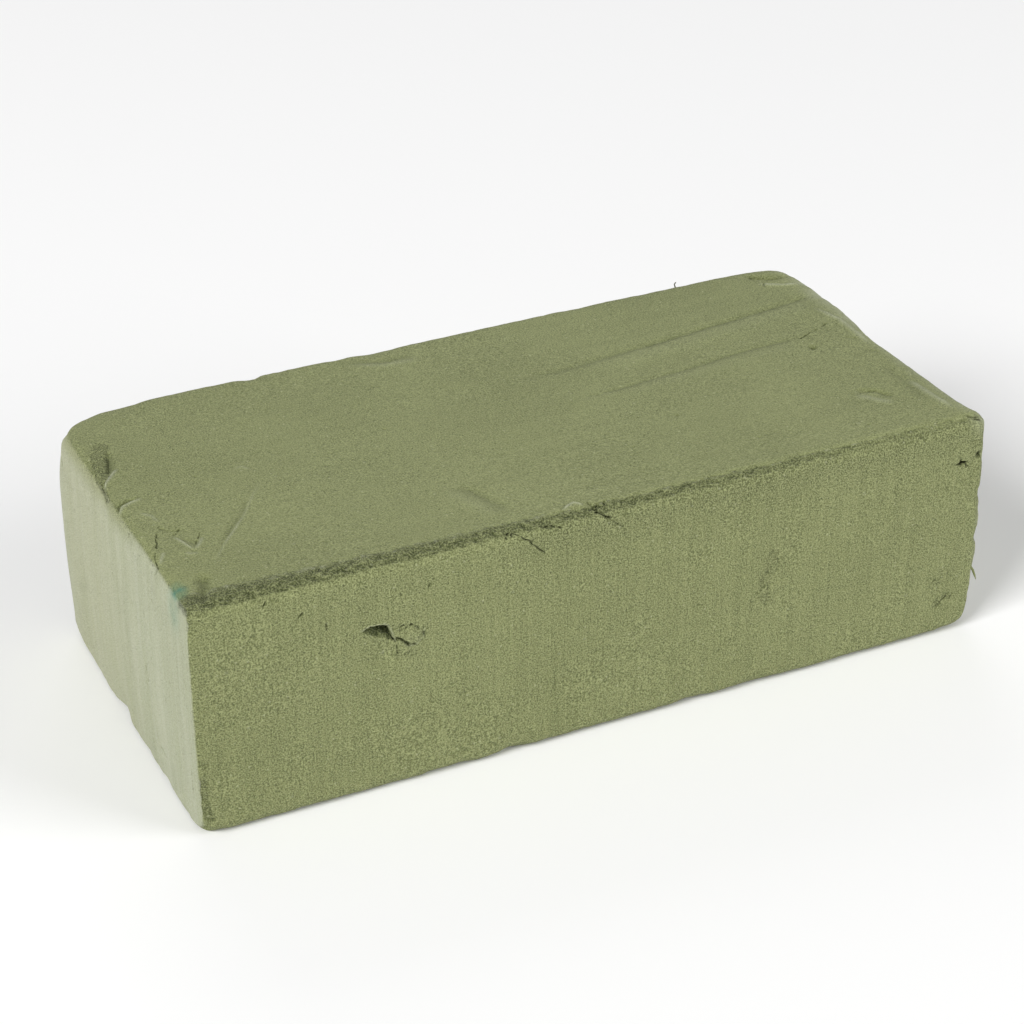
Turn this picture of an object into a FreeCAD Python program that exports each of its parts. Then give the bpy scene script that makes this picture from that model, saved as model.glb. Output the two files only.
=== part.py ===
"""Floral foam brick: one block of dry, crumbly phenolic foam, sawn to size from a larger bun.

The brick rests on its base, with its length along X, its width along Y and its height along Z.
The origin is the centre of the base, and the front face is the one at -Y.
Lengths are in millimetres.
"""

import FreeCAD, Part  # noqa: E401  FreeCAD has to be imported before Part

import os

import Sketcher

PARTS_FOLDER = "parts"
NEAR = 1e-6

# Driving dimensions: alias, value, meaning.
SIZES = [
    ("brick_length", 230.0, "along X"),
    ("brick_width", 112.0, "along Y"),
    ("brick_height", 68.0, "along Z"),
    ("top_radius", 5.0, "long edges of the top, pressed down by the wrapping"),
    ("foot_radius", 3.0, "long edges of the base"),
    ("end_radius", 2.0, "edges round both end faces, sawn and lightly worn"),
    ("tear_from_end", 45.5, "left end face to the tip of the tear"),
    ("tear_below_top", 18.0, "top face to the upper edge of the tear"),
    ("tear_length", 7.0, "tear in the front face, along X"),
    ("tear_roof_length", 6.0, "level upper edge of the tear"),
    ("tear_height", 5.0, "tear in the front face, along Z"),
    ("tear_depth", 4.5, "how far the torn-out crumb went into the foam"),
    ("poke_from_end", 9.0, "right end face to the middle of the poke mark"),
    ("poke_below_top", 13.5, "top face to the middle of the poke mark"),
    ("poke_length", 3.0, "mark of a stem or wire poked into the front face, along X"),
    ("poke_height", 1.5, "poke mark, along Z"),
    ("poke_depth", 5.0, "poke mark, into the foam"),
]


def add_sizes_sheet(doc):
    """The spreadsheet that drives the model, with one alias for each dimension."""
    sheet = doc.addObject("Spreadsheet::Sheet", "Sizes")
    for row, (alias, value, meaning) in enumerate(SIZES, start=1):
        sheet.set(f"A{row}", alias)
        sheet.set(f"B{row}", str(value))
        sheet.set(f"C{row}", meaning)
        sheet.setAlias(f"B{row}", alias)
    doc.recompute()


def new_sketch(body, name, plane_role):
    """An empty sketch on one of the body's own origin planes."""
    plane = next(feature for feature in body.Origin.OriginFeatures if feature.Role == plane_role)
    sketch = body.newObject("Sketcher::SketchObject", name)
    sketch.AttachmentSupport = [(plane, "")]
    sketch.MapMode = "FlatFace"
    return sketch


def draw_outline(sketch, corners):
    """A closed outline of straight lines; line N runs from corner N to the next one."""
    for (x1, y1), (x2, y2) in zip(corners, corners[1:] + corners[:1]):
        sketch.addGeometry(Part.LineSegment(FreeCAD.Vector(x1, y1, 0), FreeCAD.Vector(x2, y2, 0)))
    for line in range(len(corners)):
        next_line = (line + 1) % len(corners)
        sketch.addConstraint(Sketcher.Constraint("Coincident", line, 2, next_line, 1))


def draw_rectangle(sketch, low, high):
    """A level rectangle between two corners: its bottom, right, top and left lines."""
    draw_outline(sketch, [low, (high[0], low[1]), high, (low[0], high[1])])
    for line in (0, 2):
        sketch.addConstraint(Sketcher.Constraint("Horizontal", line))
    for line in (1, 3):
        sketch.addConstraint(Sketcher.Constraint("Vertical", line))


def drive(sketch, name, direction, start, end, formula):
    """A named distance from one point of the sketch to another, driven by a formula."""
    index = sketch.addConstraint(Sketcher.Constraint(direction, *start, *end, 1.0))
    sketch.renameConstraint(index, name)
    sketch.setExpression(f"Constraints.{name}", formula)


def pad_block(body):
    """The square-edged block, centred on the origin in plan."""
    plan = new_sketch(body, "plan", "XY_Plane")
    draw_rectangle(plan, (-100, -50), (100, 50))
    front_left, front_right, back_right, origin = (0, 1), (1, 1), (2, 1), (-1, 1)
    plan.addConstraint(Sketcher.Constraint("Symmetric", *front_left, *back_right, *origin))
    drive(plan, "length", "DistanceX", front_left, front_right, "Sizes.brick_length")
    drive(plan, "width", "DistanceY", front_right, back_right, "Sizes.brick_width")
    block = body.newObject("PartDesign::Pad", "block")
    block.Profile = plan
    block.setExpression("Length", "Sizes.brick_height")
    body.Document.recompute()
    return block


def edges_where(feature, is_wanted):
    """The names of the feature's edges that pass the test."""
    edges = enumerate(feature.Shape.Edges, start=1)
    return [f"Edge{number}" for number, edge in edges if is_wanted(edge)]


def round_edges(name, base, edges, radius_alias):
    """A fillet along the named edges of the feature below it."""
    body = base.getParentGeoFeatureGroup()
    fillet = body.newObject("PartDesign::Fillet", name)
    fillet.Base = (base, edges)
    fillet.setExpression("Radius", f"Sizes.{radius_alias}")
    body.Document.recompute()
    return fillet


def round_block(block):
    """Round the long edges of the top and of the base, and then the whole outline of each end."""
    box = block.Shape.BoundBox

    def is_long_edge(edge, height):
        """Whether the edge runs along X at this height."""
        middle = edge.CenterOfMass
        is_along_x = abs(abs(middle.y) - box.YMax) < NEAR
        return is_along_x and abs(middle.x) < NEAR and abs(middle.z - height) < NEAR

    def is_round_an_end(edge):
        """Whether the whole edge lies in the plane of an end face."""
        return any(all(abs(v.X - x) < NEAR for v in edge.Vertexes) for x in (box.XMin, box.XMax))

    top_edges = edges_where(block, lambda edge: is_long_edge(edge, box.ZMax))
    top = round_edges("top_edges", block, top_edges, "top_radius")
    foot_edges = edges_where(top, lambda edge: is_long_edge(edge, box.ZMin))
    foot = round_edges("foot_edges", top, foot_edges, "foot_radius")
    round_edges("end_edges", foot, edges_where(foot, is_round_an_end), "end_radius")


def cut_from_front(body, name, sketch, depth_alias):
    """A pocket from the front face inwards, checked to take foam away."""
    volume_before = body.Shape.Volume
    sketch.setExpression("AttachmentOffset.Base.z", "Sizes.brick_width / 2")
    pocket = body.newObject("PartDesign::Pocket", name)
    pocket.Profile = sketch
    pocket.setExpression("Length", f"Sizes.{depth_alias}")
    body.Document.recompute()
    if pocket.Shape.isNull() or pocket.Shape.Volume >= volume_before:
        raise RuntimeError(f"{name} takes nothing away")


def sketch_tear(body):
    """A triangle with its tip at the left and a level upper side."""
    sketch = new_sketch(body, "tear_outline", "XZ_Plane")
    draw_outline(sketch, [(-69, 50), (-62, 45), (-63, 50)])
    sketch.addConstraint(Sketcher.Constraint("Horizontal", 2))
    tip, lower_corner, upper_corner, origin = (0, 1), (1, 1), (2, 1), (-1, 1)
    tip_left = "Sizes.brick_length / 2 - Sizes.tear_from_end"
    tip_height = "Sizes.brick_height - Sizes.tear_below_top"
    drive(sketch, "tip_left", "DistanceX", tip, origin, tip_left)
    drive(sketch, "tip_height", "DistanceY", origin, tip, tip_height)
    drive(sketch, "length", "DistanceX", tip, lower_corner, "Sizes.tear_length")
    drive(sketch, "roof_length", "DistanceX", tip, upper_corner, "Sizes.tear_roof_length")
    drive(sketch, "height", "DistanceY", lower_corner, tip, "Sizes.tear_height")
    return sketch


def sketch_poke_mark(body):
    """A small level slit near the right end."""
    sketch = new_sketch(body, "poke_outline", "XZ_Plane")
    draw_rectangle(sketch, (104, 54), (107, 55))
    lower_left, upper_right, origin = (0, 1), (2, 1), (-1, 1)
    middle = "Sizes.brick_length / 2 - Sizes.poke_from_end"
    middle_height = "Sizes.brick_height - Sizes.poke_below_top"
    left = f"{middle} - Sizes.poke_length / 2"
    bottom = f"{middle_height} - Sizes.poke_height / 2"
    drive(sketch, "left", "DistanceX", origin, lower_left, left)
    drive(sketch, "bottom", "DistanceY", origin, lower_left, bottom)
    drive(sketch, "length", "DistanceX", lower_left, upper_right, "Sizes.poke_length")
    drive(sketch, "height", "DistanceY", lower_left, upper_right, "Sizes.poke_height")
    return sketch


def make_foam_brick(doc):
    """The brick: one solid, because a real one is a single piece of foam."""
    body = doc.addObject("PartDesign::Body", "foam_brick")
    body.Label = "foam_brick"
    body.Placement = FreeCAD.Placement()
    round_block(pad_block(body))
    cut_from_front(body, "tear", sketch_tear(body), "tear_depth")
    cut_from_front(body, "poke_mark", sketch_poke_mark(body), "poke_depth")
    return body


def check_document(doc, bodies):
    """Stop unless every object is up to date and every body is one valid solid."""
    doc.recompute()
    for item in doc.Objects:
        if "Invalid" in item.State or "Error" in item.State:
            raise RuntimeError(f"{item.Name} failed: {item.State}")
    for body in bodies:
        if body.Shape.isNull() or not body.Shape.isValid():
            raise RuntimeError(f"{body.Label} has no valid shape")
        if len(body.Shape.Solids) != 1:
            raise RuntimeError(f"{body.Label} isn't a single solid")


def export_parts(bodies):
    """Write each body to a STEP file named after its label."""
    os.makedirs(PARTS_FOLDER, exist_ok=True)
    for body in bodies:
        body.Shape.exportStep(f"{PARTS_FOLDER}/{body.Label}.step")


def main():
    """Build, check and export the part."""
    doc = FreeCAD.newDocument("FloralFoamBrick")
    add_sizes_sheet(doc)
    bodies = [make_foam_brick(doc)]
    check_document(doc, bodies)
    export_parts(bodies)


main()
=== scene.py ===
"""Looks of the floral foam brick: its worn shape, its foam and a plain studio round it.

The brick is shaped in millimetres, in the row's own frame: X along its length, -Y out of the front
and +Z up. A mesh is turned into metres when it is made. Places on a side are given by a person's
measures: from the left end, from the back and below the top.
"""

import itertools
import math

import bmesh
import bpy
import numpy as np
from mathutils import Matrix, Vector


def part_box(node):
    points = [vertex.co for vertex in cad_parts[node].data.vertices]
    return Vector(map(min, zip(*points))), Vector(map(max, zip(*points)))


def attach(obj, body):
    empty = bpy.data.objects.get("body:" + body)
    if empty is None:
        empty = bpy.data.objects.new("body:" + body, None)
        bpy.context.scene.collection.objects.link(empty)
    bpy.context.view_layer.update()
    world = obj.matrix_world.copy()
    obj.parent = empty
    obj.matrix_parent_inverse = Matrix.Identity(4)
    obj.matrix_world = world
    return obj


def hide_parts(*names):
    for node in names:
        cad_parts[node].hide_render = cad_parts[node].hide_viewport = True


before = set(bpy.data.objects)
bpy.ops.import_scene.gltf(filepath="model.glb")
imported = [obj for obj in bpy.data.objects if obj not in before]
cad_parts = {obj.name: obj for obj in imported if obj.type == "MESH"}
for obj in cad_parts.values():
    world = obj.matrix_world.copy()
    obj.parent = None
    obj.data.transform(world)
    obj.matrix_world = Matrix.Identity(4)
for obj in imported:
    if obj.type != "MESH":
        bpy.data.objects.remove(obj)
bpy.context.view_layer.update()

MM = 0.001
LOW, HIGH = (np.array(corner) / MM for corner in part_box("foam_brick"))
CENTRE = (LOW + HIGH) / 2
HALF = (HIGH - LOW) / 2

LEFT, RIGHT = np.array([-1, 0, 0]), np.array([1, 0, 0])
FRONT, BACK = np.array([0, -1, 0]), np.array([0, 1, 0])
UNDER, UP = np.array([0, 0, -1]), np.array([0, 0, 1])


# ---- places on the brick

def on_front(from_left, below_top):
    """A point of the front side."""
    return np.array([LOW[0] + from_left, LOW[1], HIGH[2] - below_top])


def on_back(from_left, below_top):
    """A point of the back side."""
    return np.array([LOW[0] + from_left, HIGH[1], HIGH[2] - below_top])


def on_top(from_left, from_back):
    """A point of the upper side."""
    return np.array([LOW[0] + from_left, HIGH[1] - from_back, HIGH[2]])


def on_base(from_left, from_back):
    """A point of the lower side."""
    return np.array([LOW[0] + from_left, HIGH[1] - from_back, LOW[2]])


def on_left_end(from_back, below_top):
    """A point of the left end."""
    return np.array([LOW[0], HIGH[1] - from_back, HIGH[2] - below_top])


def on_right_end(from_back, below_top):
    """A point of the right end."""
    return np.array([HIGH[0], HIGH[1] - from_back, HIGH[2] - below_top])


def path(side, places):
    """A line through places on one side."""
    return np.array([side(*place) for place in places])


# ---- the brick's edges

# Which sides meet at an edge (0 for the axis that the edge runs along), and its radius.
EDGE_RADII = [
    ((0, -1, 1), 4.5),
    ((0, 1, 1), 4.5),
    ((0, -1, -1), 3.3),
    ((0, 1, -1), 4.0),
    ((-1, 0, 1), 3.0),
    ((1, 0, 1), 5.5),
    ((-1, 0, -1), 1.2),
    ((1, 0, -1), 4.0),
    ((-1, -1, 0), 1.3),
    ((1, -1, 0), 3.0),
    ((-1, 1, 0), 5.0),
    ((1, 1, 0), 5.0),
]
# Corners that are rounder or sharper than their edges: sides, radius, reach.
CORNER_RADII = [
    ((-1, 1, 1), 10.5, 12.5),
    ((1, 1, 1), 9.0, 9.0),
    ((1, -1, 1), 4.0, 7.0),
    ((1, -1, -1), 6.5, 6.0),
    ((-1, -1, -1), 5.5, 5.0),
    ((-1, 1, -1), 6.0, 6.0),
    ((-1, -1, 1), 2.5, 5.0),
]

# ---- marks of wear

# Narrow splits: side, half width at the start and at the end, depth, and the places it runs through.
CRACKS = [
    # Under the front upper edge.
    (on_front, 0.14, 0.17, 0.6, (87.2, 0.6), (88.6, 2.2), (91.4, 4.9), (93.2, 6.9), (95.4, 8.9)),
    (on_front, 0.4, 0.3, 1.0, (85.8, -0.4), (85.4, 0.9)),
    (on_front, 0.34, 0.26, 0.9, (85.0, 1.5), (85.2, 2.3)),
    (on_front, 0.28, 0.15, 0.8, (86.6, 0.5), (86.3, 1.8)),
    (on_front, 0.26, 0.36, 0.8, (94.6, 0.2), (95.6, 1.0)),
    (on_front, 0.42, 0.3, 1.0, (96.2, 1.2), (97.2, 1.9)),
    (on_front, 0.36, 0.42, 1.0, (97.9, 1.3), (98.6, 1.9)),
    (on_front, 0.3, 0.2, 0.7, (99.4, 2.5), (100.2, 3.2)),
    (on_top, 0.36, 0.5, 1.0, (109.4, 107.2), (110.4, 109.8), (111.0, 112.0)),
    (on_front, 0.5, 0.46, 1.3, (110.8, -0.3), (111.8, 1.4), (112.9, 2.6), (114.1, 3.8)),
    (on_front, 0.18, 0.12, 0.3, (114.6, 4.4), (117.0, 6.8), (118.4, 8.3)),
    (on_top, 0.42, 0.34, 0.9, (111.4, 109.0), (111.0, 111.4)),
    (on_top, 0.4, 0.25, 0.7, (113.8, 108.2), (113.4, 110.2)),
    (on_front, 0.25, 0.15, 0.5, (63.4, 9.6), (63.2, 11.0)),
    (on_front, 0.25, 0.2, 0.5, (20.4, 3.4), (19.8, 4.6)),
    (on_front, 0.28, 0.2, 0.5, (29.6, 9.2), (28.0, 10.6)),
    (on_front, 0.3, 0.34, 0.5, (218.4, 57.0), (220.4, 55.9)),
    (on_front, 0.3, 0.2, 0.4, (221.4, 56.4), (222.2, 55.2)),
    # Round the tear and the flake, and one to the left of them.
    (on_front, 0.2, 0.32, 0.5, (55.2, 20.2), (56.4, 19.9)),
    (on_front, 0.34, 0.26, 0.6, (58.2, 20.1), (59.0, 20.4)),
    (on_front, 0.3, 0.22, 0.5, (59.9, 21.2), (60.3, 22.0)),
    (on_front, 0.24, 0.32, 0.5, (61.2, 22.8), (61.8, 23.7)),
    (on_front, 0.24, 0.16, 0.8, (53.3, 22.9), (54.2, 24.6)),
    (on_front, 0.18, 0.24, 0.45, (54.2, 25.2), (54.6, 27.8)),
    (on_front, 0.3, 0.38, 1.0, (54.4, 23.3), (55.8, 24.1), (57.8, 25.9)),
    (on_front, 0.34, 0.3, 1.0, (58.4, 25.9), (59.0, 26.1)),
    (on_front, 0.2, 0.26, 0.7, (35.9, 13.8), (35.8, 15.6)),
    # Beside the poke mark and at the right upper corner.
    (on_front, 0.34, 0.15, 1.0, (221.2, 13.4), (221.0, 12.1)),
    (on_front, 0.3, 0.15, 0.9, (222.4, 13.8), (223.7, 15.1)),
    (on_front, 0.42, 0.3, 1.3, (224.6, -0.6), (227.0, 1.2)),
    (on_top, 0.28, 0.35, 0.9, (223.0, 109.4), (226.0, 111.4)),
    # Across the top.
    (on_top, 0.2, 0.22, 0.6, (207.4, 49.2), (211.8, 47.0), (214.8, 45.9)),
    (on_top, 0.24, 0.14, 0.45, (216.4, 45.3), (221.1, 43.3), (223.2, 43.8)),
    (on_top, 0.2, 0.28, 0.45, (5.8, 74.0), (4.6, 78.0), (3.6, 81.2)),
    (on_top, 0.16, 0.42, 0.6, (2.6, 82.6), (1.0, 85.6), (-0.1, 87.4)),
    (on_top, 0.26, 0.36, 0.45, (7.0, 71.5), (9.0, 73.9), (11.4, 74.7)),
    (on_top, 0.14, 0.22, 0.35, (15.7, 78.6), (14.3, 81.0)),
    (on_top, 0.24, 0.14, 0.4, (11.9, 73.8), (11.0, 75.1), (9.2, 76.6)),
    (on_top, 0.24, 0.2, 0.4, (13.6, 81.8), (13.3, 83.0)),
    (on_top, 0.7, 0.5, 0.5, (215.8, 6.4), (218.4, 8.9), (221.6, 10.2), (226.6, 10.4)),
    (on_top, 0.3, 0.42, 0.5, (216.1, 13.8), (216.6, 12.4)),
    # The left end's upper edge.
    (on_left_end, 0.2, 0.34, 0.9, (43.4, 0.6), (47.0, 1.7), (50.2, 2.8)),
    (on_left_end, 0.4, 0.2, 1.0, (88.7, 0.0), (88.9, 2.0), (88.4, 3.9)),
    (on_left_end, 0.25, 0.16, 0.4, (68.8, 1.6), (69.1, 5.2)),
    (on_left_end, 0.4, 0.25, 0.9, (7.6, 10.2), (9.0, 11.8), (10.4, 13.0)),
    (on_left_end, 0.16, 0.26, 0.5, (80.8, 54.2), (83.1, 57.6), (86.4, 58.5)),
    (on_left_end, 0.16, 0.26, 0.5, (107.6, 49.0), (107.0, 53.6), (106.6, 58.3)),
    # The sides that face away: the back, the right end and the base.
    (on_back, 0.5, 0.2, 1.3, (61, 0), (64, 4.5), (65, 9)),
    (on_back, 0.35, 0.2, 0.9, (66.4, 0.2), (66.8, 2.6)),
    (on_back, 0.3, 0.2, 0.9, (120, 1.0), (124, 2.6), (129, 3.0)),
    (on_back, 0.22, 0.3, 1.0, (160, 60), (166, 55), (169, 49)),
    (on_back, 0.3, 0.2, 0.9, (28, 44), (30, 49), (35, 51.5)),
    (on_right_end, 0.26, 0.2, 0.7, (30, 22), (33, 27), (33.5, 33)),
    (on_right_end, 0.24, 0.2, 0.6, (74, 50), (80, 47)),
    (on_right_end, 0.4, 0.25, 1.0, (58, 0.6), (61, 2.8)),
    (on_base, 0.3, 0.2, 0.8, (40, 100), (47, 96), (52, 95)),
    (on_base, 0.25, 0.3, 0.8, (150, 20), (158, 26), (161, 33)),
    (on_base, 0.2, 0.25, 0.6, (90, 70), (93, 74), (99, 76)),
]

# Short, nearly upright nicks in the ends: from the back, below the top, half length.
LEFT_END_NICKS = [
    (52.5, 21.3, 1.5), (69.6, 21.5, 0.9), (79.4, 19.8, 0.7), (80.4, 21.6, 0.8), (60.4, 40.0, 0.6),
    (77.2, 37.0, 0.7), (78.6, 40.0, 0.8), (76.9, 42.0, 0.6), (82.9, 31.0, 0.8), (91.0, 23.0, 0.8),
    (91.8, 37.8, 0.9), (102.5, 46.5, 0.6), (107.9, 23.0, 0.7), (20.0, 21.0, 1.2), (19.6, 33.0, 1.4),
    (86.0, 12.0, 0.8), (96.5, 30.0, 0.6), (74.0, 50.0, 0.6), (34.0, 12.0, 0.7), (43.0, 30.5, 0.6),
]
RIGHT_END_NICKS = [
    (18.0, 14.0, 1.2), (24.5, 38.0, 0.8), (37.0, 9.0, 0.7), (45.0, 29.0, 1.0), (52.0, 44.0, 0.6),
    (63.0, 16.0, 0.9), (70.5, 34.0, 0.7), (78.0, 22.0, 0.8), (88.0, 41.0, 1.1), (93.0, 12.0, 0.7),
    (99.0, 29.0, 0.6), (66.0, 57.0, 0.8), (31.0, 56.0, 0.7),
]
NICK_HALF_WIDTH = 0.26
NICK_DEPTH = 0.55
NICK_LEAN = 0.45
# How far a crack strays from the line through its places.
CRACK_STRAY = 0.24

# Pressed lines with soft sides: side, half width, depth and places. A negative depth is a ridge.
CREASES = [
    # The two long folds across the right half of the top, each with a swelling in front of it.
    (on_top, 1.4, 0.42, (118, 38.5), (140, 37), (164, 34.2), (188, 31.2), (210, 28.0), (226, 25.4)),
    (on_top, 3.4, -0.45, (140, 41), (165, 39.0), (190, 35.6), (222, 31.5)),
    (on_top, 0.9, 0.32, (130, 56), (168, 52.3), (189, 49.2), (207, 48.6)),
    (on_top, 2.6, -0.22, (140, 58.5), (175, 54.5), (205, 52.0)),
    (on_top, 1.0, 0.2, (154, 35.4), (176, 32.8), (200, 29.5), (212, 27.7), (226, 25.4)),
    # Soft folds left of the middle, in front and at the back.
    (on_top, 1.5, 0.45, (83, 84), (87, 92), (90.5, 103)),
    (on_top, 2.2, -0.25, (79, 86), (83, 95), (86, 104)),
    (on_top, 1.3, -0.28, (85, 8.5), (94, 13), (105, 13.6)),
    (on_top, 1.6, 0.3, (83, 6), (93, 10), (106, 10.5)),
    # The lip that stands up beside the thick crack.
    (on_top, 0.4, -0.55, (102.0, 108.4), (104.1, 106.9), (106.2, 106.1), (108.4, 108.3)),
    (on_top, 0.9, 0.5, (102.6, 110.6), (105.0, 109.2), (107.4, 110.0)),
    # The fold at the back right corner.
    (on_top, 1.1, 1.1, (213.6, 5.6), (218, 8.6), (221.4, 10.0), (228.0, 10.4)),
    (on_top, 0.65, -0.55, (215, 11.6), (217.4, 14.2), (221, 16.2), (227, 17.8)),
    # A thumbnail's dent near the right end.
    (on_top, 0.8, 0.8, (203.0, 85.6), (206, 84.7), (209.4, 86.8), (211.6, 91.8)),
    (on_top, 1.2, -0.45, (201.4, 87.4), (204.4, 88.8), (207.0, 92.2), (210.0, 95.0)),
    # A long scratch and the wrinkles at the left end of the top.
    (on_top, 0.42, -0.14, (39, 60), (34, 67), (27.9, 76.3), (20.1, 85.8), (14, 94)),
    (on_top, 0.4, -0.26, (29.0, 74.6), (24.2, 80.9), (18.0, 88.4)),
    (on_top, 1.0, 0.16, (32.6, 67), (26.4, 76.3), (18.8, 85.2)),
    (on_top, 0.4, -0.2, (34.4, 51.6), (36.9, 50.9), (38.4, 53.6)),
    (on_top, 0.9, 1.2, (7.6, 27), (7.2, 31), (5.8, 36), (4.4, 39.4)),
    (on_top, 0.45, -0.6, (7.6, 37.6), (5.0, 40.7), (2.4, 43.4), (-0.2, 46.4)),
    (on_top, 0.5, 0.75, (-0.5, 58.4), (2.3, 56.2), (4.6, 55.2), (7.4, 54.4)),
    (on_top, 0.5, -0.45, (-0.8, 60.4), (2.3, 57.8), (5.0, 56.6), (8.6, 55.4)),
    (on_top, 0.4, -0.4, (9.1, 77.0), (9.8, 79.4), (10.7, 82.6), (11.8, 86.0)),
    (on_top, 0.6, 0.3, (10.6, 78.4), (12.4, 81.6), (13.2, 84.6)),
    (on_top, 0.45, -0.3, (15.8, 80.6), (14.4, 83.0), (12.0, 86.0)),
    (on_top, 0.5, -0.25, (9.0, 86.2), (10.4, 87.4), (12.4, 88.0)),
    (on_top, 0.5, -0.25, (5.2, 62.2), (7.6, 65.6), (8.2, 69.4)),
    (on_top, 0.5, -0.35, (4.8, 83.6), (1.8, 88.6)),
    (on_top, 1.5, 1.2, (9.6, 97.0), (8.4, 102), (7.0, 106), (5.0, 110)),
    # Streaks that run out to the right upper edge.
    (on_top, 0.9, -0.6, (221.0, 33), (223.8, 44), (223.4, 62)),
    (on_top, 0.5, 0.3, (218.6, 53.6), (222.6, 56.6)),
    (on_top, 0.5, 0.35, (221.0, 63.0), (223.4, 67.0)),
    (on_top, 0.9, -0.55, (220.4, 84), (221.2, 97), (222.6, 106)),
    (on_top, 1.4, 0.25, (219.0, 72), (219.6, 86), (218.6, 98)),
    # The left end, and the sides that face away.
    (on_left_end, 2.0, 0.06, (28, 38), (20, 44), (14, 47)),
    (on_base, 1.6, 0.35, (20, 30), (90, 36), (170, 31)),
    (on_base, 1.8, 0.3, (120, 80), (160, 84), (215, 79)),
    (on_back, 2.2, 0.25, (30, 30), (60, 36), (84, 34)),
    (on_right_end, 2.2, 0.25, (22, 44), (50, 50), (84, 47)),
]

# Hollows with a round outline: centre, radius, depth. A negative depth is a bulge.
DENTS = [
    (on_top(20, 0), 7.0, 0.8),
    (on_top(57, 1), 2.6, 1.2),
    (on_top(83, 0), 2.6, 0.8),
    (on_top(95, 0), 6.0, 0.6),
    (on_top(206, 91), 5.0, 0.3),
    (on_top(10.3, 76), 3.4, 0.4),
    (on_top(207.6, 55.6), 0.85, 1.1),
    (on_front(52.6, 25.0), 5.0, 0.3),
    (on_front(226.9, 12.2), 0.9, 1.3),
    (on_front(142, 21), 2.2, 0.3),
    (on_front(163, 28), 2.0, 0.3),
    (on_front(161.5, 35), 2.6, 0.35),
    (on_front(71.7, 68), 2.6, 0.5),
    (on_front(86, 68), 3.2, 1.1),
    (on_front(140.4, 68), 4.0, 0.5),
    (on_front(0.4, 5.4), 1.2, 0.8),
    (on_front(0.6, 51.4), 1.4, 0.8),
    (on_front(0.8, 55.8), 1.3, 0.7),
    (on_front(1.2, 60.0), 1.5, 0.7),
    (on_front(2.2, 45.6), 0.7, 0.4),
    (on_right_end(110.4, 24.8), 1.6, 1.7),
    (on_right_end(110.4, 38.8), 1.3, 2.1),
    (on_right_end(110.4, 33.8), 2.2, -0.6),
    (on_right_end(110.4, 43.2), 2.8, -0.7),
    (on_left_end(0.5, 7), 6.0, 1.3),
    (on_top(6, 1), 6.0, 1.3),
    (on_left_end(49, 68), 4.5, 1.3),
    (on_left_end(70, 68), 3.0, 0.4),
    (on_left_end(47, 0), 5.0, 0.6),
    (on_left_end(87, 0), 2.0, 0.6),
    (on_right_end(20, 68), 5.0, 0.9),
    (on_right_end(60, 0), 4.5, 0.5),
    (on_right_end(80, 30), 1.5, 0.6),
    (on_back(40, 68), 4.0, 0.9),
    (on_back(150, 30), 3.0, 0.4),
    (on_back(190, 12), 1.2, 1.0),
    (on_back(84, 52), 1.0, 0.7),
    (on_base(70, 60), 14.0, 0.4),
    (on_base(180, 50), 12.0, 0.35),
]

# Strips and patches where the skin has pulled away from a coarse, pitted floor:
# side, half width, depth, how dark the floor is painted as shade, and places.
SCARS = [
    (on_top, 2.7, 0.4, 0.1, (6.8, 24.0), (4.6, 30), (3.0, 36), (1.6, 41)),
    (on_front, 2.0, 0.2, 0.22, (163.4, 27.5), (163.2, 31), (161.2, 35), (160.6, 38.5), (162.2, 41.5)),
    (on_front, 1.3, 0.3, 0.55, (217.0, 57.4), (218.4, 55.8), (220.4, 55.2)),
    (on_front, 1.0, 0.2, 0.5, (216.0, 49.6), (217.6, 50.4)),
    (on_front, 1.6, 0.3, 0.5, (1.0, 51), (1.4, 57), (2.0, 62)),
    (on_front, 1.4, 0.15, 0.2, (55.0, 27.6), (58.5, 28.8)),
    (on_left_end, 1.2, 0.4, 0.5, (41, 0.5), (46, 0.8), (50, 1.0)),
    (on_back, 4.0, 0.5, 0.35, (66, 17), (72, 23), (75, 22)),
    (on_back, 2.6, 0.4, 0.6, (196, 52), (204, 56)),
    (on_base, 6.0, 0.5, 0.6, (196, 92), (204, 98)),
    (on_base, 4.0, 0.4, 0.5, (24, 14), (34, 10)),
]

# The torn pocket in the front: its outline from the left tip, over the lip and down to the right.
TEAR_TIP = (44.9, 18.7)
TEAR_LIP = [(47.4, 17.7), (50.8, 18.1), (51.9, 18.8)]
TEAR_WALL = [(52.7, 20.6), (53.7, 24.0)]
TEAR_SLOPE = 1.35
TEAR_UNDERCUT = 0.35

# The half-loose flake beside it: centre, half sizes and how far it stands proud.
FLAKE_PLACE = (58.1, 23.2)
FLAKE_HALF_SIZE = (3.7, 3.0)
FLAKE_LIFT = 0.38

# The poke mark: centre, half sizes, depth.
POKE_PLACE = (221.4, 13.6)
POKE_HALF_SIZE = (1.8, 0.7)
POKE_DEPTH = 3.4

# The rough band on the top beside its front edge: places from the left, its width there, strength.
BAND_FROM_LEFT = [0, 18, 60, 100, 150, 226]
BAND_WIDTH = [8.0, 7.5, 5.5, 4.2, 3.2, 2.6]
BAND_STRENGTH = [1.0, 1.0, 0.95, 0.9, 0.85, 0.45]

# Grains and pits scattered over each long side: how many, their radii, and depth for each radius.
SCATTERED = [(12, (0.3, 0.45), -0.7), (10, (0.3, 0.5), 0.8)]
SCATTER_MARGIN = 6
SCATTER_SEED = 17


def nick(side, from_back, below_top, half_length):
    """A short leaning cut in an end, as a crack."""
    lean = NICK_LEAN * half_length
    start = (from_back - lean, below_top - half_length)
    end = (from_back + lean, below_top + half_length)
    return side, NICK_HALF_WIDTH, NICK_HALF_WIDTH / 2, NICK_DEPTH, start, end


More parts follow.
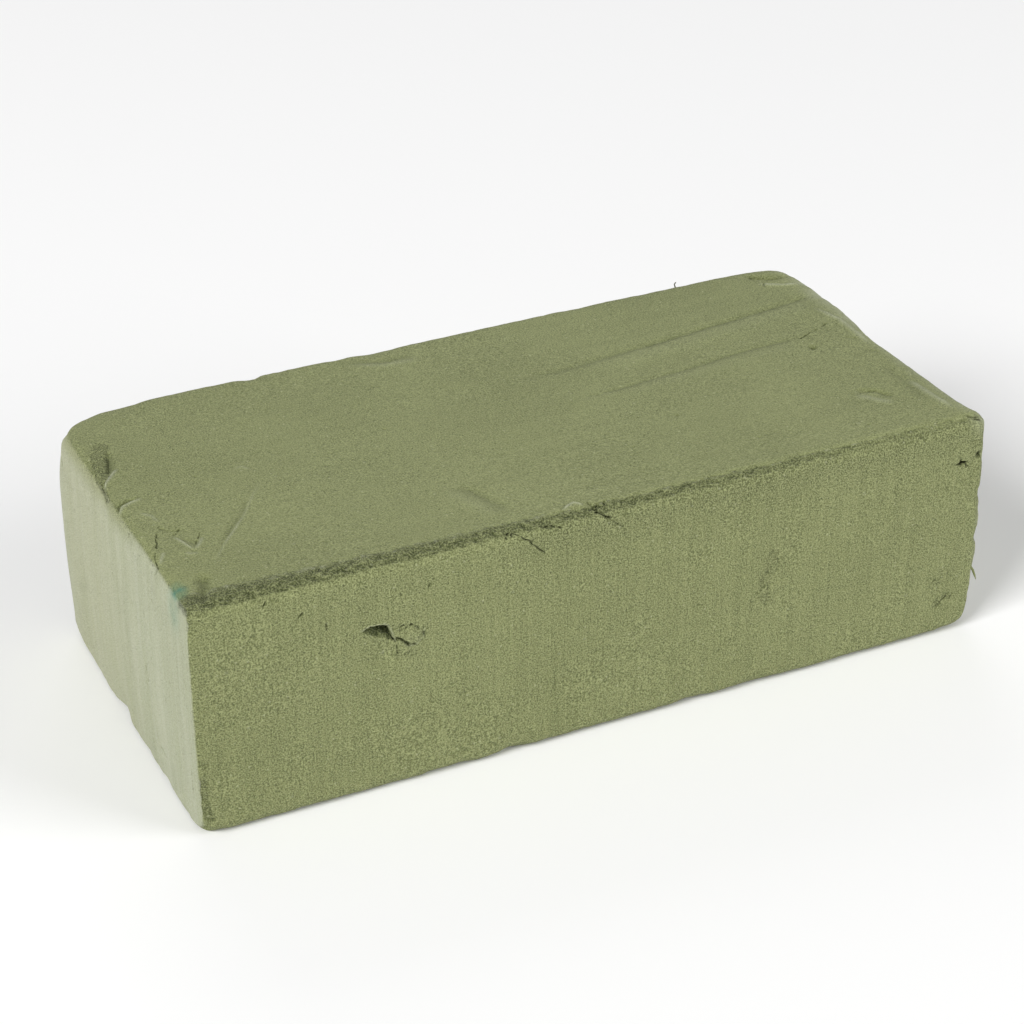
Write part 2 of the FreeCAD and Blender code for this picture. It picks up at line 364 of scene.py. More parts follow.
def scattered():
    """The loose grains and the pits, as bulges and hollows in seeded random places."""
    chance = np.random.default_rng(SCATTER_SEED)
    length, width, height = HIGH - LOW
    made = []
    for side, down in ((on_front, height), (on_back, height), (on_top, width), (on_base, width)):
        for count, radii, depth in SCATTERED:
            for _ in range(count):
                from_left = chance.uniform(SCATTER_MARGIN, length - SCATTER_MARGIN)
                from_edge = chance.uniform(SCATTER_MARGIN, down - SCATTER_MARGIN)
                radius = chance.uniform(*radii)
                made.append((side(from_left, from_edge), radius, depth * radius))
    return made


CRACKS += [nick(on_left_end, *where) for where in LEFT_END_NICKS]
CRACKS += [nick(on_right_end, *where) for where in RIGHT_END_NICKS]
DENTS += scattered()


# ---- noise and soft steps

def smooth_step(values, start, end):
    """0 before start, 1 after end, and an even rise between them."""
    part = np.clip((values - start) / (end - start), 0, 1)
    return part * part * (3 - 2 * part)


def noise(points, lump, seed, octaves=1):
    """Smooth noise from -1 to 1; lump is the size of its largest lumps, or one size for each axis."""
    table_size = 48
    total = np.zeros(len(points))
    for octave in range(octaves):
        table = np.random.default_rng(seed + octave).uniform(-1, 1, (table_size,) * 3)
        where = points / (np.asarray(lump) / 2**octave)
        cell = np.floor(where).astype(int)
        part = where - cell
        part = part * part * (3 - 2 * part)
        for corner in itertools.product((0, 1), repeat=3):
            weight = np.prod(np.where(corner, part, 1 - part), axis=1)
            total += weight * table[tuple(((cell + corner) % table_size).T)] / 2**octave
    return total / (2 - 2 ** (1 - octaves))


def along_path(points, line):
    """Each point's distance to a line through several points, and how far along it that is, 0 to 1."""
    starts, ends = line[:-1], line[1:]
    lengths = np.linalg.norm(ends - starts, axis=1)
    nearest = np.full(len(points), np.inf)
    place = np.zeros(len(points))
    for start, end, length, before in zip(starts, ends, lengths, np.cumsum(lengths) - lengths):
        step = (end - start) / length
        along = np.clip((points - start) @ step, 0, length)
        distance = np.linalg.norm(points - start - along[:, None] * step, axis=1)
        closer = distance < nearest
        nearest = np.where(closer, distance, nearest)
        place = np.where(closer, (before + along) / lengths.sum(), place)
    return nearest, place


def close_to(points, line, reach):
    """The numbers of the points in a box round a line or a single place."""
    line = np.atleast_2d(line)
    inside = (points > line.min(axis=0) - reach) & (points < line.max(axis=0) + reach)
    return np.flatnonzero(inside.all(axis=1))


# ---- mesh

# The sides of faces: in the grid of the sharp box, on the front, in the crushed band and at the tear.
CELL = 1.5
FRONT_CELL = 0.75
BAND_CELL = 0.5
FINEST_CELL = 0.24
# The grid's lines beside an edge, measured from it.
EDGE_LINES = np.array([0.0, 0.5, 1.05, 1.7, 2.4, 3.2, 4.2])
# How large a face may be in a mark, for each unit of the mark's half width.
CRACK_FACE, CREASE_FACE, DENT_FACE = 0.7, 0.6, 0.5
# How fast faces may grow with the distance from a mark, and where its pull has faded.
CELL_GROWTH = 0.45
MARK_REACH = 6.0
# The places on the front with the finest faces: centre, half sizes.
FINEST_PLACES = [
    ((49.5, 20.5), (4.5, 3.5)),
    (FLAKE_PLACE, FLAKE_HALF_SIZE),
    (POKE_PLACE, POKE_HALF_SIZE),
]
SPLIT_ROUNDS = 3


def grid_lines(low, high):
    """Grid lines from one side to the other, closer together along both edges."""
    margin = EDGE_LINES[-1]
    count = round((high - low - 2 * margin) / CELL)
    middle = np.linspace(low + margin, high - margin, count + 1)
    return np.concatenate([low + EDGE_LINES[:-1], middle, high - EDGE_LINES[-2::-1]])


def gridded_box():
    """The corners and four-sided faces of a sharp-edged box, gridded on all six sides."""
    lines = [grid_lines(low, high) for low, high in zip(LOW, HIGH)]
    shape = tuple(len(line) for line in lines)
    places = np.stack(np.meshgrid(*(np.arange(n) for n in shape), indexing="ij"), axis=-1)
    on_surface = ((places == 0) | (places == np.array(shape) - 1)).any(axis=-1)
    number = np.full(shape, -1)
    number[on_surface] = np.arange(on_surface.sum())
    spots = places[on_surface]
    points = np.stack([line[spots[:, axis]] for axis, line in enumerate(lines)], axis=1)
    faces = []
    for axis, end in itertools.product(range(3), (0, -1)):
        side = np.take(number, end, axis=axis)
        quads = np.stack([side[:-1, :-1], side[1:, :-1], side[1:, 1:], side[:-1, 1:]], axis=-1)
        faces_out = (axis == 1) != (end == -1)
        quads = quads.reshape(-1, 4)
        faces.append(quads if faces_out else quads[:, ::-1])
    return points, np.concatenate(faces)


def mark_cells():
    """Each mark's line or place, its half width and the largest face that shows it."""
    for side, start_width, end_width, _depth, *places in CRACKS:
        half_width = max(start_width, end_width)
        yield path(side, places), half_width, CRACK_FACE * half_width
    for side, half_width, _depth, *places in CREASES:
        yield path(side, places), half_width, CREASE_FACE * half_width
    for centre, radius, _depth in DENTS:
        yield centre[None], radius, DENT_FACE * radius
    for side, half_width, _depth, _painted_shade, *places in SCARS:
        yield path(side, places), half_width, BAND_CELL


def wanted_cell(points):
    """The largest face that still shows the marks near each point."""
    from_left, from_front = points[:, 0] - LOW[0], points[:, 1] - LOW[1]
    below_band = HIGH[2] - points[:, 2] - 2.5
    is_on_front = from_front < 0.01
    cell = np.where(is_on_front, FRONT_CELL, 2 * CELL)
    beyond_band = np.maximum(from_front - band_width(from_left), 0) + np.maximum(below_band, 0)
    cell = np.minimum(cell, BAND_CELL + CELL_GROWTH * beyond_band)
    for line, half_width, finest in mark_cells():
        near = close_to(points, line, MARK_REACH + half_width)
        if len(line) > 1:
            distance, _place = along_path(points[near], line)
        else:
            distance = np.linalg.norm(points[near] - line[0], axis=1)
        beyond_mark = np.maximum(distance - 1.3 * half_width, 0)
        cell[near] = np.minimum(cell[near], finest + CELL_GROWTH * beyond_mark)
    for place, half_size in FINEST_PLACES:
        away = np.abs(points - on_front(*place))[:, [0, 2]] - half_size
        distance = np.linalg.norm(np.maximum(away, 0), axis=1) + from_front
        cell = np.minimum(cell, FINEST_CELL + CELL_GROWTH * distance)
    return cell


def refine(mesh_edit):
    """Split faces into quarters until they are small enough for the marks near them."""
    for _round in range(SPLIT_ROUNDS):
        centres = np.array([face.calc_center_median() for face in mesh_edit.faces])
        sizes = np.sqrt([face.calc_area() for face in mesh_edit.faces])
        too_big = sizes > wanted_cell(centres)
        mesh_edit.faces.ensure_lookup_table()
        chosen = [mesh_edit.faces[n] for n in np.flatnonzero(too_big)]
        edges = list(dict.fromkeys(edge for face in chosen for edge in face.edges))
        bmesh.ops.subdivide_edges(mesh_edit, edges=edges, cuts=1, use_grid_fill=True)


# ---- shape

def edge_radius(local):
    """The rounding radius at points of the sharp box, measured from its centre."""
    weights = np.zeros(len(local))
    total = np.zeros(len(local))
    for sides, radius in EDGE_RADII:
        gaps = (HALF - np.array(sides) * local) * np.abs(sides)
        weight = 1 / ((gaps**2).sum(axis=1) + 1) ** 2
        weights += weight
        total += weight * radius
    result = total / weights
    for sides, radius, reach in CORNER_RADII:
        distance = np.linalg.norm(HALF - np.array(sides) * local, axis=1)
        result += (radius - result) * np.exp(-((distance / reach) ** 2))
    return result


def round_off(sharp):
    """Points of the sharp box moved onto rounded edges, and the surface's normals there."""
    local = sharp - CENTRE
    radius = edge_radius(local)[:, None]
    core = np.clip(local, radius - HALF, HALF - radius)
    normals = local - core
    normals /= np.linalg.norm(normals, axis=1)[:, None]
    return CENTRE + core + normals * radius, normals


WEAR_AND_PAINTED_LIGHT_KINDS = ("grain", "strokes", "shade", "pale", "yellow", "teal")


class Brick:
    """The brick's points, and the wear, stains and painted shade and highlights laid on them so far.

    Marks are placed by the points of the sharp-edged box that each point was rounded off from.
    """

    def __init__(self, sharp):
        self.sharp = sharp
        self.points, self.normals = round_off(sharp)
        self.shift = np.zeros_like(self.points)
        self.from_left = sharp[:, 0] - LOW[0]
        self.from_back = HIGH[1] - sharp[:, 1]
        self.below_top = HIGH[2] - sharp[:, 2]
        wear_and_painted_light = np.zeros((len(WEAR_AND_PAINTED_LIGHT_KINDS), len(sharp)))
        self.grain, self.strokes, self.shade, self.pale, self.yellow, self.teal = wear_and_painted_light

    def facing(self, direction):
        """How squarely each point faces a direction: 0 beyond about 50 degrees, 1 within about 25."""
        return smooth_step(self.normals @ direction, 0.64, 0.9)

    def press(self, depths, where=slice(None)):
        """Move the surface inwards by these depths."""
        self.shift[where] -= self.normals[where] * depths[:, None]

    def darken(self, amounts, where=slice(None)):
        """Darken the surface: 1 is as dark as it gets. Most of this is painted shade in cracks, creases,
        hollows, pits, the tear and the poke; some is crushed foam.
        """
        self.shade[where] = np.maximum(self.shade[where], amounts)

    def fade(self, amounts, where=slice(None)):
        """Make the surface paler: 1 is as pale as it gets. Some of this is dust; on ridges, bulges, rims
        and the right bevel it is painted highlight.
        """
        self.pale[where] = np.maximum(self.pale[where], amounts)


def bend_sides(brick):
    """Sides that aren't quite flat: the left end bulges, the right end leans and all of them wave."""
    left_bulge, right_bulge, most_lean, most_upper_lean = 0.95, 1.1, 1.0, 2.1
    local = (brick.points - CENTRE) / HALF
    from_middle = np.clip(local[:, 1] ** 2 + local[:, 2] ** 2, 0, 1.4)
    brick.press(brick.facing(LEFT) * (0.8 * from_middle - left_bulge))
    lean = most_lean * smooth_step(brick.from_back, 35, 75)
    upper = smooth_step(-brick.below_top, -20, -3)
    upper_lean = most_upper_lean * smooth_step(brick.from_back, 35, 66) * upper
    upper_lean *= 1 - smooth_step(brick.from_back, 100, 111)
    right = smooth_step(brick.normals @ RIGHT, 0.1, 0.7)
    brick.press(right * (0.4 * from_middle - right_bulge + lean + upper_lean))
    brick.press(0.15 + 0.3 * noise(brick.points, 48, seed=11, octaves=2))
    brick.press(0.12 * noise(brick.points, 9, seed=21, octaves=2))


def near_edge(brick, sides, reach):
    """1 on an edge of the box, fading to 0 at the reach from it."""
    gaps = (HALF - np.array(sides) * (brick.sharp - CENTRE)) * np.abs(sides)
    return 1 - smooth_step(np.linalg.norm(gaps, axis=1), 0, reach)


def crumble_edges(brick):
    """Small losses along the edges, where the foam is weakest."""
    reach, bite_depth, chip_depth = 5.0, 0.35, 1.0
    bites = np.clip(noise(brick.points, 2.6, seed=31, octaves=2) + 0.1, 0, None)
    chips = np.clip(noise(brick.points, 7, seed=33, octaves=2) - 0.25, 0, None)
    for sides, _radius in EDGE_RADII:
        close = near_edge(brick, sides, reach)
        brick.press(close * (bite_depth * bites + chip_depth * chips))


def grain_sides(brick):
    """The grain that each side was left with: coarse where sawn, fine where pressed or skinned."""
    sawn = np.maximum(brick.facing(FRONT), brick.facing(BACK))
    pressed = np.maximum(brick.facing(UP), brick.facing(UNDER))
    left = brick.facing(LEFT)
    rolled_over = smooth_step(brick.from_back, 4, 14) * smooth_step(-brick.from_back, -80, -58)
    ragged = 1.1 * noise(brick.points, (9, 9, 3), seed=45, octaves=2)
    rolled = left * rolled_over * smooth_step(-brick.below_top + ragged, -7.5, -0.5)
    ends = np.maximum(left - rolled, brick.facing(RIGHT))
    patches = 0.5 + 0.4 * noise(brick.points, 22, seed=41, octaves=2)
    frayed = smooth_step(brick.from_left, 70, 110) * smooth_step(-brick.below_top, -14, -4)
    brick.grain = 0.66 + 0.12 * patches + 0.25 * frayed * sawn
    brick.grain -= pressed * (0.34 - 0.14 * patches)
    brick.grain -= 0.3 * ends + 0.2 * rolled
    relief = noise(brick.points, 2.6, seed=43, octaves=2)
    brick.press(relief * (0.04 + 0.04 * sawn))
    saw_lines = noise(brick.points, (1.8, 1.8, 60), seed=47, octaves=2)
    brick.press(saw_lines * (0.07 * sawn + 0.05 * ends))
    brick.strokes = np.clip(0.5 * sawn + ends, 0, 1)
    pale_streaks = noise(brick.points, (3, 3, 16), seed=49, octaves=3)
    brick.fade(ends * (0.88 + 0.16 * pale_streaks) + 0.3 * rolled)


def dust_and_sheen_right_edge(brick):
    """The smooth pale bevel along the right upper edge, with streaks across it: dust, with painted sheen
    where the bevel faces up and to the right.
    """
    close = near_edge(brick, (1, 0, 1), reach=9.0)
    streaks = noise(brick.points, (14, 2.2, 14), seed=51, octaves=2)
    brick.fade(close * np.clip(0.5 + 0.45 * streaks, 0, 1))
    brick.press(close * 0.12 * streaks)
    brick.grain *= 1 - 0.6 * close


def band_width(from_left):
    """The width of the rough band on the top beside its front edge."""
    return np.interp(from_left, BAND_FROM_LEFT, BAND_WIDTH)


def crush_front_edge(brick):
    """The rough dark band where the front upper edge was crushed, widest at the left corner. Its darkness
    is partly crushed foam and partly painted shade on the rounded edge.
    """
    ragged = noise(brick.sharp, (1.8, 1.2, 1.2), seed=53, octaves=2)
    fray = noise(brick.sharp, 1.0, seed=57, octaves=2)
    from_front = HIGH[1] - LOW[1] - brick.from_back
    far = (from_front + 1.1 * ragged) / band_width(brick.from_left)
    strength = np.interp(brick.from_left, BAND_FROM_LEFT, BAND_STRENGTH)
    reach_down = 2.0 + 2.2 * smooth_step(-brick.from_left, -11, -2)
    band = strength * (1 - smooth_step(far, 0.6, 1.1))
    band *= 1 - smooth_step((brick.below_top + ragged) / reach_down, 0.15, 1.0)
    brick.press(band * (0.3 + 0.4 * fray))
    # Darken the band: partly crushed foam, partly painted shade of the rounded edge.
    brick.darken(band * np.clip(0.42 + 0.55 * fray, 0, 1))
    fringe = band * np.exp(-(((far - 0.85) / 0.18) ** 2))
    brick.fade(fringe * np.clip(-1.6 * fray - 0.3, 0, 1))
    brick.grain = np.maximum(brick.grain, np.minimum(1.2 * band, 1))


def strayed(points, reach, seed):
    """The points moved about at random by up to the reach, to make a straight line ragged."""
    return points + reach * np.stack([noise(points, 1.2, seed + axis) for axis in range(3)], axis=1)


def crack(brick):
    """Narrow splits with ragged, beaded sides, painted dark inside as shade; the deeper, the darker."""
    first_bead_seed, first_stray_seed = 100, 500
    for number, (side, start_width, end_width, depth, *places) in enumerate(CRACKS):
        line = path(side, places)
        widest = max(start_width, end_width)
        near = close_to(brick.sharp, line, 3 * widest + CRACK_STRAY)
        points = brick.sharp[near]
        stray = strayed(points, CRACK_STRAY, first_stray_seed + 3 * number)
        distance, place = along_path(stray, line)
        half_width = start_width + (end_width - start_width) * place
        beads = np.clip(0.95 + 0.7 * noise(points, 0.8, seed=first_bead_seed + number), 0.45, 1.5)
        mark = 1 - smooth_step(distance / (half_width * beads), 0.4, 1.4)
        brick.press(depth * mark * half_width / widest, near)
        # How dark the split is painted as shade: the deeper, the darker.
        painted_shade = np.clip(0.45 + 0.5 * depth, 0, 1) * np.clip(0.5 + 0.5 * beads, 0, 1)
        brick.darken(painted_shade * mark * half_width / widest, near)


def crease(brick):
    """Pressed lines with soft sides, and the soft ridges beside them; the pressed lines are painted dark as
    shade and the ridges pale as highlight.
    """
    for number, (side, half_width, depth, *places) in enumerate(CREASES):
        line = path(side, places)
        near = close_to(brick.sharp, line, 3 * half_width)
        points = brick.sharp[near]
        distance, place = along_path(points, line)
        distance += 0.18 * half_width * noise(points, 2.0, seed=200 + number)
        length = np.linalg.norm(np.diff(line, axis=0), axis=1).sum()
        taper = smooth_step(place, -0.02, 0.25) * smooth_step(1 - place, -0.02, min(0.25, 6 / length))
        mark = np.exp(-((distance / half_width) ** 2)) * taper
        brick.press(depth * mark, near)
        if depth > 0:
            brick.darken(0.45 * math.sqrt(depth) * mark, near)
        else:
            brick.fade(-1.6 * depth / (1 + half_width**2) * mark, near)


def dent(brick):
    """Hollows and bulges; a hollow that is deep for its width is painted dark as shade, and a bulge is
    painted paler as highlight.
    """
    for centre, radius, depth in DENTS:
        near = close_to(brick.sharp, centre, 2.5 * radius)
        points = brick.sharp[near]
        distance = np.linalg.norm(points - centre, axis=1) + 0.15 * radius * noise(points, radius, seed=301)
        mark = np.exp(-((distance / radius) ** 2))
        brick.press(depth * mark, near)
        brick.darken(np.clip(depth / radius - 0.4, 0, 1) * mark, near)
        if depth < 0:
            brick.fade(0.3 * mark, near)


def open_scars(brick):
    """Strips where the skin has pulled away from a coarse, pitted floor, painted dark as shade, darker
    where the pits go deeper.
    """
    for number, (side, half_width, depth, painted_shade, *places) in enumerate(SCARS):
        line = path(side, places)
        near = close_to(brick.sharp, line, 2 * half_width)
        points = brick.sharp[near]
        distance, _place = along_path(points, line)
        rim = half_width * (1 + 0.4 * noise(points, 2.4, seed=400 + number, octaves=2))
        inside = smooth_step(-distance, -rim, -0.7 * rim)
        pits = noise(points, 1.4, seed=450 + number, octaves=2)
        brick.press(inside * depth * (0.7 + 0.9 * pits), near)
        # Painted shade in the pitted floor, darker where the pits go deeper.
        brick.darken(inside * painted_shade * np.clip(0.3 + 0.9 * pits, 0, 1), near)
        brick.grain[near] = np.maximum(brick.grain[near], inside)


def beyond_line(across, down, start, end):
    """Distance from a line, positive on its right-hand side going from start to end."""
    run, drop = end[0] - start[0], end[1] - start[1]
    return (run * (down - start[1]) - drop * (across - start[0])) / math.hypot(run, drop)


def tear_front(brick):
    """A torn wedge: steep under its lip and along its right wall, and sloping up to its lower edge. Its
    inside is painted dark as shade, darkest under the lip, and its rim is painted pale as highlight.
    """
    across, down = brick.from_left, brick.below_top
    on_side = brick.facing(FRONT)
    rim = [TEAR_TIP, *TEAR_LIP, *TEAR_WALL]
    ragged = 0.16 * noise(brick.sharp, 0.8, seed=71, octaves=2)
    inside = np.min([beyond_line(across, down, *side) for side in zip(rim, rim[1:])], axis=0) + ragged
    slope = -beyond_line(across, down, TEAR_TIP, TEAR_WALL[-1])
    rough = noise(brick.sharp, 0.9, seed=73, octaves=2)
    strands = noise(brick.sharp, (2.4, 2.4, 0.55), seed=75, octaves=2)
    open_part = smooth_step(inside, 0.0, 0.35) * smooth_step(slope + 0.6 * rough, 0, 0.4) * on_side
    depth = open_part * TEAR_SLOPE * np.clip(slope + 0.7 * rough + 0.35 * strands, 0, None)
    brick.press(depth)
    brick.shift += TEAR_UNDERCUT * depth[:, None] * UP
    under_lip = np.exp(-np.clip(inside, 0, None) / 0.8) * smooth_step(slope, 0.6, 2.4)
    # Painted shade inside the wedge, darkest under the lip and where it is deep.
    painted_shade = 0.88 + 0.08 * depth + 0.4 * under_lip - 0.6 * np.clip(strands, 0, 1) + 0.15 * rough
    brick.darken(open_part * np.clip(painted_shade, 0.1, 1))
    # A painted highlight along the rim, which is also raised a little.
    painted_rim_highlight = np.exp(-(((inside + 0.28) / 0.2) ** 2)) * smooth_step(slope, -0.2, 0.6) * on_side
    brick.fade(0.4 * painted_rim_highlight)
    brick.press(-0.16 * painted_rim_highlight)


def lift_flake(brick):
    """A flake that is cracked round its foot and stands a little proud there. It is painted paler as
    highlight where it tilts out and along its lower rim, and the crack round its upper side is painted dark
    as shade.
    """
    u = (brick.from_left - FLAKE_PLACE[0]) / FLAKE_HALF_SIZE[0]
    v = (brick.below_top - FLAKE_PLACE[1]) / FLAKE_HALF_SIZE[1]
    on_side = brick.facing(FRONT)
    edge = np.hypot(u, v) + 0.14 * noise(brick.sharp, 2.0, seed=79)
    plate = smooth_step(-edge, -1.0, -0.84) * on_side
    tilt = np.clip(0.3 + 0.7 * (0.5 * u + 0.7 * v), 0, 1)
    brick.press(-FLAKE_LIFT * plate * tilt)
    brick.fade(0.12 * plate * tilt)
    beads = smooth_step(noise(brick.sharp, 0.7, seed=81), -0.3, 0.1)
    rim = np.exp(-(((edge - 1.0) / 0.1) ** 2)) * on_side
    upper = smooth_step(0.4 * u - v, 0.0, 0.7)
    brick.darken(0.8 * rim * beads * upper)
    brick.press(0.3 * rim * beads * upper)
    lower = smooth_step(u + v, 0.5, 1.1)
    brick.fade(0.5 * np.exp(-(((edge - 0.92) / 0.08) ** 2)) * lower * on_side * (1 - beads))


def poke_front(brick):
    """The slit where a wire was poked into the front, painted dark inside as shade."""
    u = (brick.from_left - POKE_PLACE[0]) / POKE_HALF_SIZE[0]
    v = (brick.below_top - POKE_PLACE[1]) / POKE_HALF_SIZE[1]
    edge = np.hypot(u, v) + 0.3 * noise(brick.sharp, 0.9, seed=83)
    hole = smooth_step(-edge, -1.0, -0.5) * brick.facing(FRONT)
    brick.press(POKE_DEPTH * hole)
    brick.darken(np.clip(2.5 * hole, 0, 1))


def stain(brick):
    """The yellowed back part of the left end, and a small teal stain at its front upper corner."""
    left = brick.facing(LEFT)
    drift = 10 * noise(brick.points, 22, seed=91)
    off_edge = smooth_step(brick.from_back, 2, 12)
    brick.yellow = left * smooth_step(-brick.from_back - drift, -95, -25) * off_edge
    patchy = np.clip(0.85 + 0.8 * noise(brick.points, 1.7, seed=93, octaves=2), 0, 1)
    spot = np.linalg.norm((brick.sharp - on_top(1.2, 102)) / (3.3, 4.2, 3.0), axis=1)
    wash = np.linalg.norm((brick.sharp - on_left_end(102.5, 4)) / (4.0, 6.0, 11.0), axis=1)
    brick.teal = patchy * np.maximum(smooth_step(-spot, -1.25, -0.15), 0.4 * smooth_step(-wash, -1.0, -0.1))


def worn_brick(sharp):
    """All the wear, with its painted shade and highlights, laid on the points of the sharp box."""
    brick = Brick(sharp)
    shaping = (bend_sides, crumble_edges, grain_sides, dust_and_sheen_right_edge, crush_front_edge)
    marking = (crease, dent, open_scars, tear_front, lift_flake, crack, poke_front, stain)
    for wear_and_painted_light in shaping + marking:
        wear_and_painted_light(brick)
    return brick


def add_object(name, data):
    """A new object in the scene."""
    made = bpy.data.objects.new(name, data)
    bpy.context.scene.collection.objects.link(made)
    return made


def add_piece(mesh, material):
    """A smooth-shaded piece of one material, named after its mesh."""
    mesh.polygons.foreach_set("use_smooth", np.ones(len(mesh.polygons), dtype=bool))
    mesh.update()
    mesh.materials.append(material)
    return add_object(mesh.name, mesh)


def make_brick(material):
    """The brick as one closed mesh, with its wear, stains and painted shade and highlights stored on its
    points for the material.
    """
    points, faces = gridded_box()
    mesh = bpy.data.meshes.new("foam_block")
    mesh.from_pydata(points.tolist(), [], faces.tolist())
    mesh_edit = bmesh.new()
    mesh_edit.from_mesh(mesh)
    refine(mesh_edit)
    mesh_edit.to_mesh(mesh)
    mesh_edit.free()
    sharp = np.zeros(len(mesh.vertices) * 3)
    mesh.vertices.foreach_get("co", sharp)
    brick = worn_brick(sharp.reshape(-1, 3))
    placed = (brick.points + brick.shift) * MM
    placed[:, 2] = np.maximum(placed[:, 2], LOW[2] * MM)
    mesh.vertices.foreach_set("co", placed.ravel())
    for name in WEAR_AND_PAINTED_LIGHT_KINDS:
        layer = mesh.attributes.new(name, "FLOAT", "POINT")
        layer.data.foreach_set("value", np.clip(getattr(brick, name), 0, 1))
    return add_piece(mesh, material)


def tapered_strand(name, root, steps, radii, flatness, material):
    """A thin strand through places that are steps from its root, with its own radius at each."""
    sides = 8
    line = root + np.array(steps)
    mesh_edit = bmesh.new()
    rings = []
    ahead = np.gradient(line, axis=0)
    for place, direction, radius in zip(line, ahead, radii):
        direction = direction / np.linalg.norm(direction)
        across = np.cross(direction, UP + 0.3 * BACK)
        across /= np.linalg.norm(across)
        thin = np.cross(direction, across) * flatness
        angles = np.arange(sides) * 2 * math.pi / sides
        ring = [place + radius * (math.cos(a) * across + math.sin(a) * thin) for a in angles]
        rings.append([mesh_edit.verts.new(point * MM) for point in ring])
    for ring, following in zip(rings, rings[1:]):
        for n in range(sides):
            after = (n + 1) % sides
            mesh_edit.faces.new((ring[n], ring[after], following[after], following[n]))
    mesh_edit.faces.new(rings[0][::-1])
    mesh_edit.faces.new(rings[-1])
    bmesh.ops.recalc_face_normals(mesh_edit, faces=mesh_edit.faces)
    mesh = bpy.data.meshes.new(name)
    mesh_edit.to_mesh(mesh)
    mesh_edit.free()
    return add_piece(mesh, material)


def make_splinter(material):
    """The splinter of foam that hangs out of the right end beside the front edge."""
    root = on_right_end(107.5, 49.0)
    steps = [(-1.6, 0, 0), (-0.2, -0.8, -0.9), (0.5, -1.7, -2.2), (0.8, -2.3, -3.6), (1.0, -2.8, -4.8)]
    radii = (0.7, 0.8, 0.75, 0.55, 0.15)
    return tapered_strand("end_splinter", root, steps, radii, flatness=0.5, material=material)


def make_fibre(material):
    """The short dark fibre that stands on the back upper edge."""
    root = on_back(193.2, 1.8)
    steps = [(0, -0.6, 0), (-0.1, -0.3, 0.7), (-0.2, -0.2, 1.1), (0.0, -0.3, 1.5), (0.3, -0.3, 1.8)]
    radii = (0.2, 0.2, 0.2, 0.18, 0.1)
    return tapered_strand("edge_fibre", root, steps, radii, flatness=1.0, material=material)


# ---- materials

class Graph:
    """A new material, with short calls for building its nodes."""

    def __init__(self, name):
        self.material = bpy.data.materials.new(name)
        self.material.use_nodes = True
        self.tree = self.material.node_tree

    def feed(self, sockets, values):
        """Link an output to each named socket, or set the socket's own value."""
        for name, value in dict(values).items():
            if isinstance(value, bpy.types.NodeSocket):
                self.tree.links.new(value, sockets[name])
            else:
                sockets[name].default_value = value

    def shade(self, values):
        """Feed the material's shader."""
        self.feed(self.tree.nodes["Principled BSDF"].inputs, values)
        return self.material

    def node(self, kind, inputs=(), **settings):
        """A node with its settings and inputs."""
        made = self.tree.nodes.new(f"ShaderNode{kind}")
        for name, value in settings.items():
            setattr(made, name, value)
        self.feed(made.inputs, inputs)
        return made

    def math(self, operation, first, second=0.0, third=0.0):
        """A sum on numbers."""
        inputs = {0: first, 1: second, 2: third}
        return self.node("Math", inputs, operation=operation).outputs[0]

    def times(self, first, second):
        """Two numbers multiplied."""
        return self.math("MULTIPLY", first, second)

    def remap(self, value, low, high, to_low=0.0, to_high=1.0):
        """A value moved from one range to another, and kept inside it."""
        inputs = {0: value, 1: low, 2: high, 3: to_low, 4: to_high}
        return self.node("MapRange", inputs).outputs[0]

    def mix(self, factor, first, second):
        """Two colours mixed."""
        inputs = {0: factor, 6: first, 7: second}
        return self.node("Mix", inputs, data_type="RGBA").outputs[2]

    def mix_numbers(self, factor, first, second):
        """Two numbers mixed."""
        return self.node("Mix", {0: factor, 2: first, 3: second}).outputs[0]

    def noise(self, where, scale, detail=2.0, roughness=0.5):
        """Noise from 0 to 1."""
        inputs = {"Vector": where, "Scale": scale, "Detail": detail, "Roughness": roughness}
        return self.node("TexNoise", inputs).outputs[0]

    def dots(self, where, scale, share, size):
        """1 in small spots at the middles of a share of the cells, and 0 elsewhere."""
        cell = self.node("TexVoronoi", {"Vector": where, "Scale": scale})
        lot = self.node("SeparateColor", {"Color": cell.outputs["Color"]}).outputs[0]
        spot = self.remap(cell.outputs["Distance"], size, size / 2)
        return self.times(self.math("LESS_THAN", lot, share), spot)

    def stretched(self, where, scales):
        """Noise drawn out into streaks, by a scale for each axis."""
        mapped = self.node("Mapping", {"Vector": where, "Scale": scales}).outputs[0]
        return self.noise(mapped, 1.0)

    def add(self, total, values, weight):
        """A total with noise added round its middle value, at some weight."""
        return self.math("MULTIPLY_ADD", self.math("SUBTRACT", values, 0.5), weight, total)

    def wear_and_painted_light(self, name):
        """A layer that the mesh carries: grain, streaks, dust, stains, crushed foam, and painted shade and
        highlight.
        """
        return self.node("Attribute", attribute_name=name).outputs["Fac"]


def colour(red, green, blue):
    """A colour for a socket, from linear light."""
    return (red, green, blue, 1.0)


FOAM_DARK = colour(0.132, 0.150, 0.056)
FOAM_LIGHT = colour(0.338, 0.366, 0.168)
# Dark colour for crushed foam in the front edge band, and for painted shade in cracks, creases, hollows,
# scars, the tear and the poke.
CRUSH_AND_PAINTED_SHADE = colour(0.042, 0.054, 0.013)
# Pale colour for dust on the ends and the right bevel, and for painted highlight on ridges, bulges, rims
# and the bevel's sheen.
DUST_AND_HIGHLIGHT = colour(0.465, 0.482, 0.368)
GLINT = colour(0.50, 0.52, 0.31)
YELLOWED = colour(0.47, 0.44, 0.25)
TEAL = colour(0.045, 0.20, 0.15)
FIBRE = colour(0.03, 0.028, 0.02)


